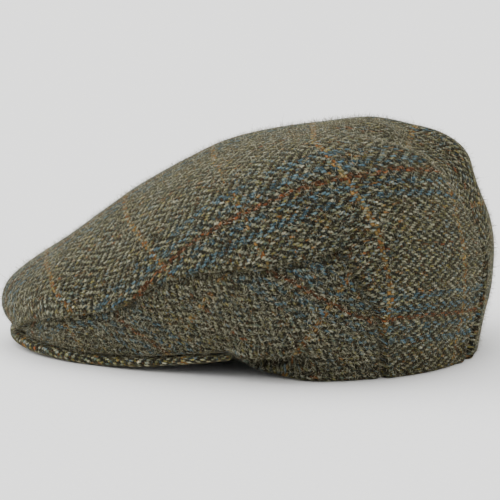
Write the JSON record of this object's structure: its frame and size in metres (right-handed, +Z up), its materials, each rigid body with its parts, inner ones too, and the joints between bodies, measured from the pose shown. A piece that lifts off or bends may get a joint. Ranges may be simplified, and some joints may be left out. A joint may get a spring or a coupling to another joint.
{
  "type": "flat cap",
  "caption": "Soft flat cap in woven wool, with a one-piece top panel, curved side panels and a short stiff peak.",
  "frame": {"origin": "middle of the head opening, on the surface that the hem lies on", "axes": "+Z up, the peak points to -X, the back of the cap to +X and the wearer's left side to -Y"},
  "size_m": [0.2831, 0.1898, 0.129],
  "materials": {
    "tweed_top": "woven wool, herringbone with a check",
    "tweed_side": "woven wool, cut on the bias",
    "tweed_peak": "woven wool over a board"
  },
  "bodies": {
    "root": {"top_panel": "tweed_top", "side_panel_left": "tweed_side", "side_panel_right": "tweed_side", "peak": "tweed_peak"}
  },
  "joints": []
}
